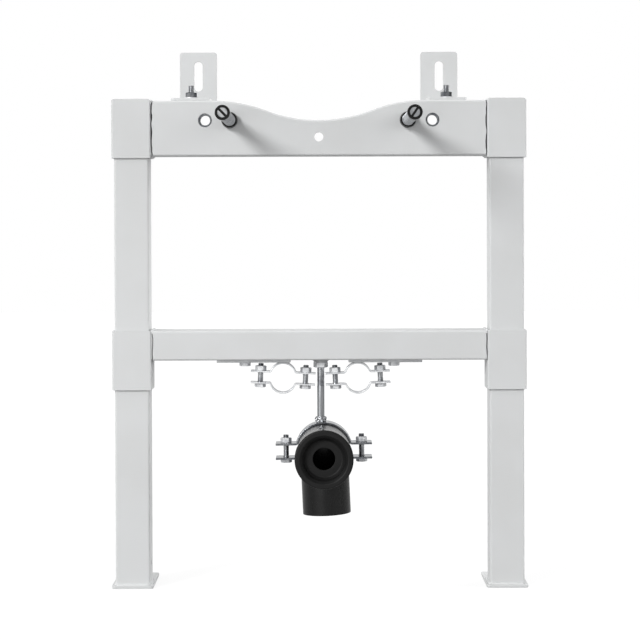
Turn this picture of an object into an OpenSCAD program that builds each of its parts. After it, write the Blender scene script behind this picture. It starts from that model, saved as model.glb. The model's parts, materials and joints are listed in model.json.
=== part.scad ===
// Installation frame for a wall-hung bidet.
// Two square legs stand on foot plates and slide in sleeves that are welded to two rails.
// The saddle-backed top rail carries the bidet's two studs, its spare threaded holes and the
// brackets to the wall. The lower rail carries two open water pipe clamps and, on a hanger
// rod, the clamp that holds the waste elbow with its rubber seal.
// Millimetres. +Z is up, the front looks along -Y, and the floor is at z = 0.
// The origin is on the floor, under the middle of the frame's overall box.

/* [Frame] */
// Width across the outer faces of the sleeves
frame_w = 420; // [400:5:520]
// Height of the top of the upper sleeves
frame_h = 496; // [470:2:600]
// Height of the top of the lower rail
lower_rail_top = 261; // [245:1:290]
// Outside size of the square sleeves
sleeve_size = 40; // [36:1:50]
// Height of each sleeve
sleeve_h = 60; // [58:1:90]
// Wall of every tube and rail
tube_wall = 2; // [1.5:0.25:3]
// Outside corner radius of the tubes and rails
tube_r = 2; // [1.5:0.25:4]
// Gap between leg and sleeve on each side
leg_gap = 0.5; // [0.2:0.1:0.8]
// Height of the lids that close the upper sleeves
cap_h = 3.5; // [3.5:0.5:6]
// Corner radius of a lid, seen from the front
cap_r = 3; // [2:0.5:3]

/* [Feet] */
// Width of a foot plate
foot_w = 42; // [38:1:60]
// Length of a foot plate, front to back
foot_l = 80; // [70:1:120]
// Thickness of a foot plate
foot_t = 3; // [2:0.5:6]
// How far the foot plate shows in front of the leg
foot_front = 4; // [1:0.5:10]
// Corner radius of a foot plate
foot_r = 3; // [1:0.5:6]
// Floor fixing hole behind the leg
floor_hole_d = 9; // [6:0.5:12]
// Middle of that hole from the back edge of the plate
floor_hole_edge = 20; // [15:1:25]
// Small drain hole in the inner side of a leg
drain_d = 5; // [3:0.5:8]
// Height of the drain hole
drain_h = 23; // [12:1:60]

/* [Top rail] */
// Height of the top rail
top_rail_h = 56; // [50:1:58]
// How far the top rail stays below the top of the sleeves
top_rail_drop = 2; // [0.5:0.5:4]
// Width of the saddle in the top edge
saddle_w = 214; // [180:2:220]
// Depth of the saddle
saddle_depth = 20; // [10:0.5:22]
// Hole in the middle of the top rail
middle_hole_d = 9; // [6:0.5:12]
// How far that hole is above the bottom of the rail
middle_hole_h = 19; // [14:1:22]
// Wider hole behind it, in the back of the rail
back_hole_d = 14; // [12:0.5:16]

/* [Studs] */
// Spacing of the two bidet studs
stud_spacing = 180; // [175:1:185]
// Spacing of the two spare threaded holes
spare_spacing = 230; // [226:1:236]
// Height of the studs above the bottom of the top rail
stud_h = 36; // [34:1:40]
// Thread diameter of the studs
stud_d = 12; // [10:1:12]
// How far the studs stand out in front of the rail
stud_reach = 160; // [100:5:200]
// How far a stud runs on behind its nut
stud_tail = 3; // [1:0.5:6]
// Collar round the stud at the rail
collar_d = 16.5; // [15:0.5:20]
// Length of that collar
collar_l = 9; // [4:0.5:14]
// Cap ring round the stud's tip
cap_ring_d = 14.4; // [13.5:0.1:16]
// Length of the cap ring
cap_ring_l = 7; // [4:0.5:12]
// Length of the cone that each stud's tip ends in
stud_cone_l = 1.1; // [0.5:0.1:2]
// Diameter of the tip's flat end
stud_tip_d = 9.8; // [8:0.1:9.8]
// Bore of the spare threaded holes
spare_bore_d = 10.2; // [8:0.1:10.6]
// Clear hole in the rail in front of a weld nut
rail_hole_d = 14; // [13:0.5:16]
// Size across the flats of the weld nuts
weld_nut_af = 19; // [17:1:20]
// Thickness of the weld nuts
weld_nut_t = 10; // [6:0.5:12]

/* [Wall brackets] */
// Distance of a wall bracket's middle from the end of the top rail
bracket_inset = 40; // [36:1:42]
// Width of a wall bracket
bracket_w = 40; // [30:1:45]
// Thickness of the bracket plate
bracket_t = 3; // [2:0.5:5]
// Height of the upright plate, from the underside of the bracket
bracket_h = 60; // [50:1:80]
// Distance of the wall from the front of the frame
wall_distance = 151; // [140:1:200]
// How far the bracket's front edge is behind the front of the frame
bracket_front = 5; // [2:0.5:8]
// Corner radius of the bracket plate
bracket_r = 3; // [1:0.5:6]
// Width of the slot in the upright plate
wall_slot_w = 9; // [6:0.5:12]
// Length of that slot
wall_slot_l = 32; // [15:1:36]
// Distance of the slot's lower end above the underside of the bracket
wall_slot_h = 18; // [14:1:22]
// Width of the adjusting slot in the flat plate
adjust_slot_w = 6.8; // [6.6:0.1:12]
// Length of the adjusting slot
adjust_slot_l = 100; // [40:1:110]
// Thread diameter of the bracket stud
bracket_stud_d = 6; // [5:0.5:6.5]
// How far the bracket stud stands above its nut
bracket_stud_over = 7; // [2:0.5:10]
// Thickness of that stud's head inside the rail
bracket_head_t = 2; // [1:0.5:3]
// Bracket nut across the flats
bracket_nut_af = 10; // [9.5:0.5:13]
// Height of the bracket nut
bracket_nut_h = 5; // [4:0.5:8]
// Washer diameter under the bracket nut
bracket_washer_d = 14; // [12:0.5:22]
// Washer thickness
bracket_washer_t = 1.2; // [1:0.1:2.5]

/* [Lower rail] */
// Height of the lower rail
lower_rail_h = 30; // [25:1:40]
// Thickness of the flat straps under the lower rail
strap_t = 3; // [2:0.5:5]
// Length of a strap
strap_l = 75; // [73:1:85]
// Width of a strap
strap_w = 20; // [16:0.5:24]
// Distance of the strap's middle from the frame's middle
strap_x = 67; // [66:0.5:72]
// Distance of the strap's bolt from the frame's middle
strap_bolt_x = 76; // [74:0.5:80]
// Length of the slot round the strap's bolt
strap_slot_l = 16; // [10:1:22]

/* [Water pipe clamps] */
// Spacing of the two water pipe clamps
clamp_spacing = 75; // [74:0.5:80]
// How far the pair of clamps sits to the right of the hanger rod
clamp_shift = -0.3; // [-0.5:0.1:0.5]
// Inner radius of the clamp's arches
clamp_r = 12.3; // [11:0.1:13]
// Thickness of the clamp strip
clamp_t = 1.5; // [1:0.1:1.8]
// Width of the clamp strip
clamp_w = 16; // [12:1:20]
// Full length of a clamp half
clamp_l = 66; // [62:0.5:67]
// Distance between the two bolts of a clamp
clamp_bolt_spacing = 46; // [44:0.5:48]
// Gap that the loose clamp halves leave between their wings
clamp_gap = 10; // [6:0.5:12]
// Height of a half's wing above the middle of its arch
clamp_wing_h = 2.8; // [2:0.1:4]
// Tilt of each clamp, its inner end lower
clamp_tilt = 2.5; // [0:0.5:3]

/* [Clamp bolts] */
// Thread diameter of the clamp and strap bolts
bolt_d = 6; // [5:0.5:6]
// Bolt head and nut across the flats
bolt_af = 10; // [9:0.5:10]
// Height of a bolt head
bolt_head_h = 4; // [3:0.5:5]
// Height of a nut
bolt_nut_h = 5; // [3:0.5:5]
// How far a clamp bolt stands above its nut
bolt_over = 2.4; // [0.5:0.1:2.6]

/* [Hanger] */
// Sideways place of the hanger rod
hanger_x = 1.2; // [-2:0.1:2]
// Diameter of the hanger rod
rod_d = 8; // [6:0.5:8]
// Upper diameter of the flared boss under the lower rail
boss_top_d = 22; // [18:0.5:26]
// Lower diameter of the flared boss
boss_low_d = 14; // [13:0.5:17]
// Height of the flared boss
boss_h = 3; // [2:0.5:5]
// Hanger nut across the flats
rod_nut_af = 13; // [11:0.5:14]
// Height of the hanger nut
rod_nut_h = 5.5; // [4:0.5:8]
// How far the rod runs up into the lower rail
rod_in_rail = 8; // [4:0.5:14]
// Height of the nut that is welded on the waste clamp
ring_nut_h = 5; // [4:0.5:8]
// Diameter of that nut
ring_nut_d = 12; // [11:0.5:14]

/* [Waste clamp] */
// Sideways place of the waste clamp and the elbow
waste_x = 4.2; // [-2:0.1:5]
// Height of the waste pipe's middle above the floor
waste_h = 138; // [125:1:145]
// Thickness of the waste clamp's band
ring_t = 2; // [1.5:0.1:3]
// Width of the band, front to back
ring_w = 25; // [20:1:30]
// Length of a band half over its wings
ring_l = 98; // [94:1:110]
// Distance between the two bolts of the waste clamp
ring_bolt_spacing = 77; // [74:0.5:82]
// Gap between the wings
ring_gap = 12.5; // [6:0.5:14]
// Inner radius of the bends at its wings
ring_bend_r = 1; // [0.5:0.5:3]
// Angle by which the waste clamp is turned, its right side higher
ring_turn = 0.7; // [0:0.1:2]
// How far the waste clamp's bolts stand above their nuts
ring_bolt_over = 3; // [1:0.5:8]

/* [Waste elbow] */
// Outside diameter of the elbow's socket arm
arm_d = 54.4; // [52:0.2:58]
// Outside diameter of the elbow's outlet
outlet_d = 50; // [46:0.5:52]
// Wall of the elbow
elbow_wall = 3; // [2:0.25:4]
// Radius of the elbow's bend
bend_r = 30; // [28:0.5:34]
// Middle of the outlet behind the front of the frame
outlet_back = 66; // [64:1:72]
// Length from the arm's axis to the end of the outlet
outlet_drop = 71; // [60:1:90]
// Reach of the socket in front of the frame
socket_reach = 66; // [40:1:80]
// Outside diameter of the bell at the socket's mouth
bell_d = 58; // [56:0.5:66]
// Length of the bell
bell_l = 12; // [8:0.5:16]
// Angle by which the elbow is turned in its clamp
elbow_turn = 2.5; // [0:0.5:8]

/* [Waste seal] */
// Diameter of the seal's flange
seal_d = 58; // [56:0.5:62]
// Thickness of the flange
seal_flange_t = 4; // [3:0.5:6]
// Diameter of the seal's recess
seal_recess_d = 42; // [36:0.5:44]
// Inlet hole of the seal
seal_hole_d = 22; // [20:0.5:30]
// How far the recess goes in
seal_recess = 10; // [6:0.5:14]
// Thickness of the seal's web
seal_web_t = 3; // [2:0.5:5]
// Length of the seal inside the socket
seal_l = 24; // [18:1:34]
// Wall of the part of the seal inside the socket
seal_wall = 2.5; // [1.5:0.25:4]
// Size of the bevels at the rim and the foot of the recess
seal_bevel = 3; // [2:0.25:3.5]

/* [Fits] */
// Play of a rod in a nut or hole that fits it closely
close_fit = 0.1; // [0.05:0.05:0.2]
// Play of a bolt in a punched hole
free_fit = 0.3; // [0.2:0.05:0.5]

/* [Hidden] */
$fn = 64;
saddle_facets = 180;
half_w = frame_w / 2;
leg_x = half_w - sleeve_size / 2;
leg_size = sleeve_size - 2 * tube_wall - 2 * leg_gap;
rail_half = leg_x - sleeve_size / 2;
lower_sleeve_bottom = lower_rail_top - sleeve_h;
top_sleeve_bottom = frame_h - sleeve_h;
lid_z = frame_h - cap_h;

// The front of the frame stands so far from the origin that the overall box is centred on it.
front_y = (stud_reach - wall_distance) / 2;
back_y = front_y + sleeve_size;
middle_y = front_y + sleeve_size / 2;
leg_front_y = middle_y - leg_size / 2;
wall_y = front_y + wall_distance;
foot_y = leg_front_y - foot_front;
floor_hole_y = foot_y + foot_l - floor_hole_edge;

rail_top = frame_h - top_rail_drop;
rail_bottom = rail_top - top_rail_h;
stud_z = rail_bottom + stud_h;
middle_hole_z = rail_bottom + middle_hole_h;
saddle_angle = 2 * atan(2 * saddle_depth / saddle_w);
saddle_r = saddle_w / (4 * sin(saddle_angle));
nut_front_y = front_y + tube_wall;
nut_back_y = nut_front_y + weld_nut_t;

bracket_x = rail_half - bracket_inset;
bracket_z = rail_top;
bracket_nut_z = bracket_z + bracket_t + bracket_washer_t;
bracket_stud_top = bracket_nut_z + bracket_nut_h + bracket_stud_over;
adjust_slot_y = middle_y - adjust_slot_w / 2 - free_fit;
wall_slot_low = bracket_z + wall_slot_h;

lower_rail_bottom = lower_rail_top - lower_rail_h;
strap_z = lower_rail_bottom - strap_t;
strap_bolt_in = tube_wall + 6;

clamp_mid_x = hanger_x + clamp_shift;
clamp_x = clamp_spacing / 2;
clamp_out_r = clamp_r + clamp_t;
clamp_bend_r = clamp_t;
clamp_arch_z = clamp_gap / 2 - clamp_wing_h;
clamp_height = clamp_arch_z + clamp_out_r;
clamp_z = strap_z - clamp_height;

ring_r = arm_d / 2 + close_fit;
ring_out_r = ring_r + ring_t;
ring_z = waste_h;
ring_top = ring_z + ring_out_r;
ring_nut_top = ring_top + ring_nut_h;
boss_z = lower_rail_bottom - boss_h;
rod_nut_z = boss_z - rod_nut_h;

arm_r = arm_d / 2;
outlet_r = outlet_d / 2;
bore_r = outlet_r - elbow_wall;
arm_bore_r = arm_r - elbow_wall;
// The axial places below are measured behind the front of the frame, along the arm's axis.
bend_start = outlet_back - bend_r;
mouth = -socket_reach;
seal_face = mouth - seal_flange_t;

SIDES = [["left", -1], ["right", 1]];
paint = "#dadbdb";
zinc = "#b9bcbe";
plastic = "#26282a";

// A rectangle with round corners, centred on the origin.
module round_rect(size, r) {
    square([size.x - 2 * r, size.y], center = true);
    square([size.x, size.y - 2 * r], center = true);
    for (x = [-1, 1], y = [-1, 1])
        translate([x * (size.x / 2 - r), y * (size.y / 2 - r)])
            circle(r);
}

// A slot of width w whose round ends are l apart over all, along Y.
module slot(w, l) {
    square([w, l - w], center = true);
    for (y = [-1, 1])
        translate([0, y * (l - w) / 2])
            circle(d = w);
}

// The outline of a square tube's wall.
module tube_outline(size, r) {
    difference() {
        round_rect(size, r);
        round_rect([size.x - 2 * tube_wall, size.y - 2 * tube_wall], max(r - tube_wall, 0.3));
    }
}

// Turns a profile drawn in X and Y so that it stands in X and Z, from y0 to y1.
module along_y(y0, y1) {
    translate([0, y1, 0])
        rotate([90, 0, 0])
            linear_extrude(y1 - y0)
                children();
}

// A hexagon bar of size af across its flats.
module hexagon(af, h) {
    cylinder(d = af / cos(30), h = h, $fn = 6);
}

// A wedge from angle a0 to a1, larger than any radius r in it.
module wedge(r, a0, a1) {
    n = 4;
    reach = 2 * r;
    polygon([
        [0, 0],
        for (i = [0:n])
            let (a = a0 + (a1 - a0) * i / n) [reach * cos(a), reach * sin(a)]
    ]);
}

// A band of thickness t along a circle with inner radius r, from angle a0 to a1.
module arc_band(r, t, a0, a1) {
    intersection() {
        difference() {
            circle(r + t);
            circle(r);
        }
        wedge(r + t, a0, a1);
    }
}

// The side view of a pressed clamp half: an arch, a bend at each foot and two flat wings.
// r is the arch's inner radius, wing_z the wings' underside and bend the bend's smaller radius.
module clamp_outline(r, t, wing_z, l, bend) {
    mid_r = r + t / 2;
    mid_bend = bend + t / 2;
    mid_z = wing_z + t / 2;
    bend_z = mid_z + mid_bend;
    bend_x = sqrt(pow(mid_r + mid_bend, 2) - pow(bend_z, 2));
    a = atan2(bend_z, bend_x);
    arc_band(r, t, a, 180 - a);
    for (side = [0, 1])
        mirror([side, 0]) {
            translate([bend_x, bend_z])
                arc_band(bend, t, 180 + a, 270);
            translate([bend_x, wing_z])
                square([l / 2 - bend_x, t]);
        }
}

// A clamp half with its two bolt holes, its arch's middle at the origin.
module clamp_half(r, t, wing_z, l, w, bend, bolt_spacing) {
    difference() {
        along_y(-w / 2, w / 2)
            clamp_outline(r, t, wing_z, l, bend);
        for (side = [-1, 1])
            translate([side * bolt_spacing / 2, 0, wing_z - 1])
                cylinder(d = bolt_d + 2 * free_fit, h = t + 2);
    }
}

// A hexagon bolt whose head's top is at z = 0 and whose shank is l long.
module hex_bolt(l) {
    translate([0, 0, -bolt_head_h])
        hexagon(bolt_af, bolt_head_h);
    cylinder(d = bolt_d, h = l);
}

// A hexagon nut that stands on z = 0.
module hex_nut(af, h, bore_d) {
    difference() {
        hexagon(af, h);
        translate([0, 0, -1])
            cylinder(d = bore_d, h = h + 2);
    }
}

module foot_plate(side) {
    color(paint)
        difference() {
            translate([side * leg_x, foot_y + foot_l / 2, 0])
                linear_extrude(foot_t)
                    round_rect([foot_w, foot_l], foot_r);
            translate([side * leg_x, floor_hole_y, -1])
                cylinder(d = floor_hole_d, h = foot_t + 2);
        }
}

module leg(side) {
    color(paint)
        difference() {
            translate([side * leg_x, middle_y, foot_t])
                linear_extrude(lid_z - foot_t)
                    tube_outline([leg_size, leg_size], tube_r);
            translate([side * (leg_x - leg_size / 2 + tube_wall / 2), middle_y, drain_h])
                rotate([0, 90, 0])
                    cylinder(d = drain_d, h = tube_wall + 2, center = true);
        }
}

module sleeve(side, z, h) {
    color(paint)
        translate([side * leg_x, middle_y, z])
            linear_extrude(h)
                tube_outline([sleeve_size, sleeve_size], tube_r);
}

// The lid that closes a leg's and its sleeve's top. Its outer edges are round from the front.
module cap(side) {
    color(paint)
        intersection() {
            translate([side * leg_x, middle_y, lid_z])
                linear_extrude(cap_h)
                    round_rect([sleeve_size, sleeve_size], tube_r);
            along_y(front_y, back_y)
                translate([side * leg_x, frame_h - sleeve_size / 2])
                    round_rect([sleeve_size, sleeve_size], cap_r);
        }
}

// The top rail's front view, set in by inset from all its edges but its open ends.
module saddle_outline(inset) {
    reach = rail_half + (inset > 0 ? 1 : 0);
    valley_r = saddle_r + inset;
    shoulder_r = saddle_r - inset;
    valley_z = rail_top - saddle_depth + saddle_r;
    shoulder_z = rail_top - saddle_r;
    meet_x = valley_r * sin(saddle_angle);
    meet_z = valley_z - valley_r * cos(saddle_angle);
    difference() {
        translate([-reach, rail_bottom + inset])
            square([2 * reach, top_rail_h - 2 * inset]);
        intersection() {
            translate([0, valley_z])
                circle(valley_r, $fn = saddle_facets);
            translate([-meet_x, meet_z - saddle_depth])
                square([2 * meet_x, saddle_depth]);
        }
        translate([-meet_x, meet_z])
            square([2 * meet_x, saddle_depth]);
        for (side = [-1, 1])
            difference() {
                translate([side * (meet_x + saddle_w / 8), meet_z + saddle_depth / 2])
                    square([saddle_w / 4, saddle_depth], center = true);
                translate([side * saddle_w / 2, shoulder_z])
                    circle(shoulder_r, $fn = saddle_facets);
            }
    }
}

module top_rail() {
    color(paint)
        difference() {
            intersection() {
                along_y(front_y, back_y)
                    saddle_outline(0);
                translate([-rail_half, middle_y, (rail_top + rail_bottom) / 2 + tube_r])
                    rotate([90, 0, 90])
                        linear_extrude(2 * rail_half)
                            round_rect([sleeve_size, top_rail_h + 2 * tube_r], tube_r);
            }
            along_y(front_y + tube_wall, back_y - tube_wall)
                saddle_outline(tube_wall);
            for (x = [stud_spacing / 2, spare_spacing / 2], side = [-1, 1])
                translate([side * x, 0, 0])
                    along_y(front_y - 1, back_y + 1)
                        translate([0, stud_z])
                            circle(d = rail_hole_d);
            along_y(front_y - 1, front_y + tube_wall + 1)
                translate([0, middle_hole_z])
                    circle(d = middle_hole_d);
            along_y(back_y - tube_wall - 1, back_y + 1)
                translate([0, middle_hole_z])
                    circle(d = back_hole_d);
            for (side = [-1, 1])
                translate([side * bracket_x, middle_y, rail_top - tube_wall - 1])
                    cylinder(d = bracket_stud_d + 2 * free_fit, h = tube_wall + 2);
        }
}

module lower_rail() {
    color(paint)
        difference() {
            translate([-rail_half, middle_y, lower_rail_bottom + lower_rail_h / 2])
                rotate([90, 0, 90])
                    linear_extrude(2 * rail_half)
                        tube_outline([sleeve_size, lower_rail_h], tube_r);
            for (side = [-1, 1])
                translate([side * strap_bolt_x, middle_y, lower_rail_bottom - 1])
                    cylinder(d = bolt_d + 2 * close_fit, h = tube_wall + 2);
            translate([hanger_x, middle_y, lower_rail_bottom - 1])
                cylinder(d = rod_d + 2 * close_fit, h = tube_wall + 2);
        }
}

// Four nuts welded behind the rail's front: two hold the studs, two are spare.
module weld_nuts() {
    color(zinc)
        for (side = [-1, 1])
            for (hole = [[stud_spacing, stud_d + 2 * close_fit], [spare_spacing, spare_bore_d]])
                translate([side * hole[0] / 2, nut_front_y, stud_z])
                    rotate([-90, 0, 0])
                        rotate([0, 0, 30])
                            hex_nut(weld_nut_af, weld_nut_t, hole[1]);
}

module stud(side) {
    tip_y = front_y - stud_reach;
    color(zinc)
        translate([side * stud_spacing / 2, tip_y, stud_z])
            rotate([-90, 0, 0]) {
                cylinder(d1 = stud_tip_d, d2 = stud_d, h = stud_cone_l);
                translate([0, 0, stud_cone_l])
                    cylinder(d = stud_d, h = nut_back_y + stud_tail - tip_y - stud_cone_l);
            }
}

module stud_collars() {
    color(plastic)
        for (side = [-1, 1])
            translate([side * stud_spacing / 2, 0, stud_z])
                along_y(front_y - collar_l, front_y)
                    difference() {
                        circle(d = collar_d);
                        circle(d = stud_d + 2 * close_fit);
                    }
}

// Plastic rings that cap the studs' tips: each is turned in over the cone, and leaves the end free.
module stud_cap_rings() {
    bore_r = stud_d / 2 + close_fit;
    color(plastic)
        for (side = [-1, 1])
            translate([side * stud_spacing / 2, front_y - stud_reach, stud_z])
                rotate([-90, 0, 0])
                    rotate_extrude()
                        polygon([
                            [stud_tip_d / 2 + close_fit, 0],
                            [cap_ring_d / 2, 0],
                            [cap_ring_d / 2, cap_ring_l],
                            [bore_r, cap_ring_l],
                            [bore_r, stud_cone_l]
                        ]);
}

// An angle with a flat plate on the top rail and an upright plate against the wall.
module wall_bracket(side) {
    flat_l = wall_distance - bracket_front;
    bend_in = bracket_t / 2;
    bend_out = bend_in + bracket_t;
    corner = [wall_y - bend_out, bracket_z + bend_out];
    color(paint)
        translate([side * bracket_x, 0, 0])
            difference() {
                union() {
                    translate([0, front_y + bracket_front + (flat_l - bend_out) / 2, bracket_z])
                        linear_extrude(bracket_t)
                            difference() {
                                translate([0, bracket_r])
                                    round_rect([bracket_w, flat_l - bend_out + 2 * bracket_r], bracket_r);
                                translate([-bracket_w / 2 - 1, (flat_l - bend_out) / 2])
                                    square([bracket_w + 2, 3 * bracket_r]);
                            }
                    along_y(wall_y - bracket_t, wall_y)
                        difference() {
                            translate([0, corner.y + (bracket_h - bend_out) / 2 - bracket_r])
                                round_rect([bracket_w, bracket_h - bend_out + 2 * bracket_r], bracket_r);
                            translate([-bracket_w / 2 - 1, corner.y - 3 * bracket_r])
                                square([bracket_w + 2, 3 * bracket_r]);
                        }
                    translate([-bracket_w / 2, corner.x, corner.y])
                        rotate([90, 0, 90])
                            linear_extrude(bracket_w)
                                arc_band(bend_in, bracket_t, 270, 360);
                }
                translate([0, adjust_slot_y + adjust_slot_l / 2, bracket_z - 1])
                    linear_extrude(bracket_t + 2)
                        slot(adjust_slot_w, adjust_slot_l);
                along_y(wall_y - bracket_t - 1, wall_y + 1)
                    translate([0, wall_slot_low + wall_slot_l / 2])
                        slot(wall_slot_w, wall_slot_l);
            }
}

// Headed studs pressed through the top of the top rail.
module bracket_studs() {
    color(zinc)
        for (side = [-1, 1])
            translate([side * bracket_x, middle_y, rail_top - tube_wall]) {
                translate([0, 0, -bracket_head_t])
                    cylinder(d = bracket_nut_af, h = bracket_head_t);
                cylinder(d = bracket_stud_d, h = bracket_stud_top - rail_top + tube_wall);
            }
}

module bracket_washers() {
    color(zinc)
        for (side = [-1, 1])
            translate([side * bracket_x, middle_y, bracket_z + bracket_t])
                linear_extrude(bracket_washer_t)
                    difference() {
                        circle(d = bracket_washer_d);
                        circle(d = bracket_stud_d + 2 * free_fit);
                    }
}

module bracket_nuts() {
    color(zinc)
        for (side = [-1, 1])
            translate([side * bracket_x, middle_y, bracket_nut_z])
                hex_nut(bracket_nut_af, bracket_nut_h, bracket_stud_d + 2 * close_fit);
}

module strap(side) {
    color(zinc)
        translate([side * strap_x, middle_y, strap_z])
            linear_extrude(strap_t)
                difference() {
                    square([strap_l, strap_w], center = true);
                    translate([side * (strap_bolt_x - strap_x), 0])
                        rotate(90)
                            slot(bolt_d + 2 * free_fit, strap_slot_l);
                }
}

module strap_bolts() {
    color(zinc)
        for (side = [-1, 1])
            translate([side * strap_bolt_x, middle_y, strap_z])
                hex_bolt(strap_t + strap_bolt_in);
}

// Sets its children at a water pipe clamp's middle, tilted about the top of its arch.
module at_clamp(side) {
    translate([clamp_mid_x + side * clamp_x, middle_y, clamp_z + clamp_height])
        rotate([0, -side * clamp_tilt, 0])
            translate([0, 0, -clamp_height])
                children();
}

module clamp_upper(side) {
    color(zinc)
        at_clamp(side)
            translate([0, 0, clamp_arch_z])
                clamp_half(clamp_r, clamp_t, clamp_wing_h, clamp_l, clamp_w, clamp_bend_r,
                    clamp_bolt_spacing);
}

module clamp_lower(side) {
    color(zinc)
        at_clamp(side)
            translate([0, 0, -clamp_arch_z])
                mirror([0, 0, 1])
                    clamp_half(clamp_r, clamp_t, clamp_wing_h, clamp_l, clamp_w, clamp_bend_r,
                        clamp_bolt_spacing);
}

module clamp_bolts(side) {
    color(zinc)
        at_clamp(side)
            for (end = [-1, 1])
                translate([end * clamp_bolt_spacing / 2, 0, -clamp_gap / 2 - clamp_t])
                    hex_bolt(clamp_gap + 2 * clamp_t + bolt_nut_h + bolt_over);
}

module clamp_nuts(side) {
    color(zinc)
        at_clamp(side)
            for (end = [-1, 1])
                translate([end * clamp_bolt_spacing / 2, 0, clamp_gap / 2 + clamp_t])
                    hex_nut(bolt_af, bolt_nut_h, bolt_d + 2 * close_fit);
}

// The flared boss that is welded under the lower rail round the hanger rod.
module hanger_boss() {
    color(paint)
        translate([hanger_x, middle_y, boss_z])
            difference() {
                cylinder(d1 = boss_low_d, d2 = boss_top_d, h = boss_h);
                translate([0, 0, -1])
                    cylinder(d = rod_d + 2 * close_fit, h = boss_h + 2);
            }
}

module hanger_nut() {
    color(zinc)
        translate([hanger_x, middle_y, rod_nut_z])
            hex_nut(rod_nut_af, rod_nut_h, rod_d + 2 * close_fit);
}

module hanger_rod() {
    rod_top = lower_rail_bottom + rod_in_rail;
    color(zinc)
        translate([hanger_x, middle_y, ring_top])
            cylinder(d = rod_d, h = rod_top - ring_top);
}

// The nut on the waste clamp's crown, shaped to the band under it.
module ring_nut() {
    color(zinc)
        difference() {
            translate([hanger_x, middle_y, ring_top - ring_t])
                cylinder(d = ring_nut_d, h = ring_nut_h + ring_t);
            translate([waste_x, 0, ring_z])
                along_y(middle_y - ring_w, middle_y + ring_w)
                    circle(ring_out_r);
            translate([hanger_x, middle_y, ring_z])
                cylinder(d = rod_d + 2 * close_fit, h = ring_nut_top);
        }
}

// Sets its children at the waste clamp's middle, turned about the arm's axis.
module at_ring() {
    translate([waste_x, middle_y, ring_z])
        rotate([0, -ring_turn, 0])
            children();
}

module waste_clamp_half(side) {
    color(zinc)
        at_ring()
            mirror([0, 0, side < 0 ? 1 : 0])
                clamp_half(ring_r, ring_t, ring_gap / 2, ring_l, ring_w, ring_bend_r, ring_bolt_spacing);
}

module waste_clamp_bolts() {
    color(zinc)
        at_ring()
            for (side = [-1, 1])
                translate([side * ring_bolt_spacing / 2, 0, -ring_gap / 2 - ring_t])
                    hex_bolt(ring_gap + 2 * ring_t + bolt_nut_h + ring_bolt_over);
}

module waste_clamp_nuts() {
    color(zinc)
        at_ring()
            for (side = [-1, 1])
                translate([side * ring_bolt_spacing / 2, 0, ring_gap / 2 + ring_t])
                    hex_nut(bolt_af, bolt_nut_h, bolt_d + 2 * close_fit);
}

// Sets its children on the waste arm's axis, which runs along +Y from the front of the frame.
module on_waste_axis() {
    translate([waste_x, front_y, ring_z])
        rotate([0, -elbow_turn, 0])
            children();
}

// The elbow's outer form, or its bore: an arm along Y, a bend and an outlet that points down.
module elbow_form(arm_radius, radius, extra) {
    along_y(mouth - extra, bend_start)
        circle(arm_radius);
    translate([0, bend_start, -bend_r])
        rotate([90, 0, 90])
            rotate_extrude(angle = 90)
                translate([bend_r, 0])
                    circle(radius);
    translate([0, outlet_back, -outlet_drop - extra])
        cylinder(r = radius, h = outlet_drop + extra - bend_r);
}

module waste_elbow() {
    taper = arm_r - outlet_r;
    color(plastic)
        on_waste_axis()
            difference() {
                union() {
                    elbow_form(outlet_r, outlet_r, 0);
                    along_y(mouth, bend_start - taper)
                        circle(arm_r);
                    translate([0, bend_start - taper, 0])
                        rotate([-90, 0, 0])
                            cylinder(r1 = arm_r, r2 = outlet_r, h = taper);
                    along_y(mouth, mouth + bell_l)
                        circle(d = bell_d);
                    translate([0, mouth + bell_l, 0])
                        rotate([-90, 0, 0])
                            cylinder(r1 = bell_d / 2, r2 = arm_r, h = bell_d / 2 - arm_r);
                }
                elbow_form(bore_r, bore_r, 1);
                along_y(mouth - 1, mouth + seal_l + 2)
                    circle(arm_bore_r);
            }
}

// The rubber seal: a flange before the socket, a funnel to the inlet hole and a skirt in the socket.
module waste_seal() {
    skirt_r = arm_bore_r - close_fit;
    rim_r = seal_recess_d / 2;
    rotate_to_axis = [-90, 0, 0];
    color(plastic)
        on_waste_axis()
            translate([0, seal_face, 0])
                rotate(rotate_to_axis)
                    rotate_extrude()
                        polygon([
                            [rim_r + seal_bevel, 0],
                            [seal_d / 2 - 1, 0],
                            [seal_d / 2, 1],
                            [seal_d / 2, seal_flange_t],
                            [skirt_r, seal_flange_t],
                            [skirt_r, seal_flange_t + seal_l],
                            [skirt_r - seal_wall, seal_flange_t + seal_l],
                            [skirt_r - seal_wall, seal_recess + seal_web_t],
                            [seal_hole_d / 2, seal_recess + seal_web_t],
                            [seal_hole_d / 2, seal_recess],
                            [rim_r - seal_bevel, seal_recess],
                            [rim_r, seal_recess - seal_bevel],
                            [rim_r, seal_bevel]
                        ]);
}

for (s = SIDES) {
    foot_plate(s[1]);
    leg(s[1]);
    sleeve(s[1], lower_sleeve_bottom, sleeve_h);
    sleeve(s[1], top_sleeve_bottom, sleeve_h - cap_h);
    cap(s[1]);
    stud(s[1]);
    wall_bracket(s[1]);
    strap(s[1]);
    clamp_upper(s[1]);
    clamp_lower(s[1]);
    clamp_bolts(s[1]);
    clamp_nuts(s[1]);
}
top_rail();
lower_rail();
weld_nuts();
stud_collars();
stud_cap_rings();
bracket_studs();
bracket_washers();
bracket_nuts();
strap_bolts();
hanger_boss();
hanger_nut();
hanger_rod();
ring_nut();
waste_clamp_half(1);  // waste_clamp_upper
waste_clamp_half(-1);  // waste_clamp_lower
waste_clamp_bolts();
waste_clamp_nuts();
waste_elbow();
waste_seal();
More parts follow.
